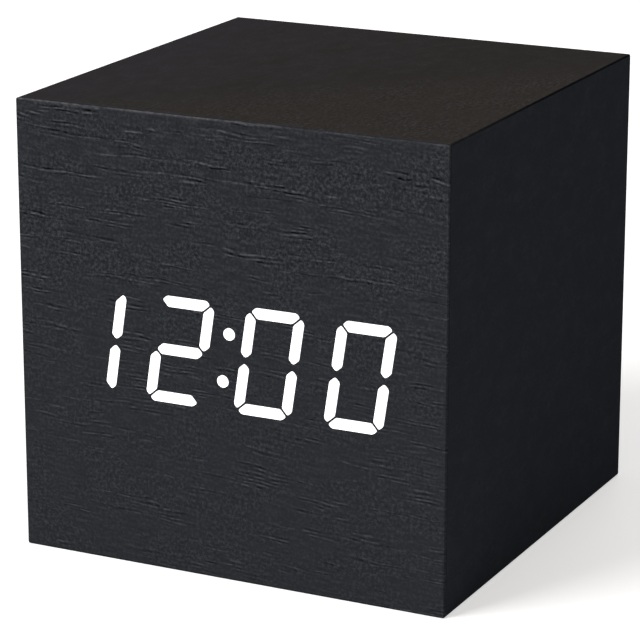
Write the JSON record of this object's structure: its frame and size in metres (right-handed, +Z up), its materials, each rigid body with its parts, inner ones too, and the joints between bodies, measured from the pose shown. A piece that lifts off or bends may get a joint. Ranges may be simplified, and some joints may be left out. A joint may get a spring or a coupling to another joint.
{
  "type": "digital alarm clock",
  "caption": "Cube-shaped table clock in a black wood-grain case: a lit seven-segment time on the front, and battery door, keys and power socket in the back.",
  "frame": {"origin": "middle of the flat bottom face that the clock rests on", "axes": "+Z up; the display looks along -Y; +X to the right as seen from the front"},
  "size_m": [0.06, 0.06, 0.06],
  "materials": {
    "black_wood_grain": "matt embossed black wood-grain film on board",
    "front_film_grain": "matt embossed black wood-grain film",
    "housing_black": "matt black moulding",
    "lit_resin": "white diffusing resin, lit",
    "board_green": "green solder mask",
    "chip_resin": "moulded chip body",
    "tinned_can": "plated can",
    "buzzer_black": "moulded black",
    "holder_plastic": "cream moulding",
    "coin_steel": "bright steel",
    "sensor_resin": "amber dipped bead",
    "plug_plastic": "white moulding",
    "ribbon_grey": "grey ribbon insulation",
    "cover_black": "fine-textured black moulding",
    "raw_board": "raw fibreboard",
    "screw_steel": "zinc-plated steel",
    "cell_wrap": "plain black sleeve",
    "spring_nickel": "nickel-plated wire",
    "contact_nickel": "nickel-plated sheet",
    "lead_red": "red insulation",
    "lead_black": "black insulation",
    "key_black": "satin black moulding",
    "switch_black": "moulded black",
    "plunger_white": "moulded white",
    "socket_black": "moulded black",
    "socket_brass": "turned contact pin",
    "capacitor_sleeve": "dark blue sleeve"
  },
  "bodies": {
    "clock": {"case_shell": "black_wood_grain", "front_film": "front_film_grain", "display_housing": "housing_black", "digit_1_light_bars": "lit_resin", "digit_2_light_bars": "lit_resin", "digit_3_light_bars": "lit_resin", "digit_4_light_bars": "lit_resin", "colon_light_bars": "lit_resin", "main_board": "board_green", "microcontroller": "chip_resin", "crystal": "tinned_can", "buzzer": "buzzer_black", "backup_cell_holder": "holder_plastic", "backup_cell": "coin_steel", "temperature_sensor": "sensor_resin", "ribbon_plug_main": "plug_plastic", "ribbon_plug_key": "plug_plastic", "ribbon_cable": "ribbon_grey", "rear_cover": "cover_black", "corner_block_lower_left": "raw_board", "corner_block_lower_right": "raw_board", "corner_block_upper_left": "raw_board", "corner_block_upper_right": "raw_board", "cover_screw_lower_left": "screw_steel", "cover_screw_lower_right": "screw_steel", "cover_screw_upper_left": "screw_steel", "cover_screw_upper_right": "screw_steel", "battery_1": "cell_wrap", "battery_2": "cell_wrap", "battery_3": "cell_wrap", "battery_spring_1": "spring_nickel", "battery_spring_2": "spring_nickel", "battery_spring_3": "spring_nickel", "battery_contact_positive": "contact_nickel", "battery_bridge_right": "contact_nickel", "battery_bridge_left": "contact_nickel", "battery_contact_negative": "contact_nickel", "battery_lead_positive": "lead_red", "battery_lead_negative": "lead_black", "key_board": "board_green", "board_screw_left": "screw_steel", "board_screw_right": "screw_steel", "down_switch_body": "switch_black", "up_switch_body": "switch_black", "set_switch_body": "switch_black", "microphone": "tinned_can", "dc_socket": "socket_black", "dc_socket_pin": "socket_brass", "filter_capacitor": "capacitor_sleeve"},
    "door": {"battery_door": "cover_black"},
    "down_key": {"down_button": "key_black", "down_switch_plunger": "plunger_white"},
    "up_key": {"up_button": "key_black", "up_switch_plunger": "plunger_white"},
    "set_key": {"set_button": "key_black", "set_switch_plunger": "plunger_white"}
  },
  "joints": [
    {"name": "door_lift", "type": "slide", "parent": "clock", "child": "door", "axis": [0, 1, 0], "range_m": [0, 0.012]},
    {"name": "down_press", "type": "slide", "parent": "clock", "child": "down_key", "axis": [0, -1, 0], "range_m": [0, 0.0005], "stiffness_N_per_m": 1500},
    {"name": "up_press", "type": "slide", "parent": "clock", "child": "up_key", "axis": [0, -1, 0], "range_m": [0, 0.0005], "stiffness_N_per_m": 1500},
    {"name": "set_press", "type": "slide", "parent": "clock", "child": "set_key", "axis": [0, -1, 0], "range_m": [0, 0.0005], "stiffness_N_per_m": 1500}
  ]
}
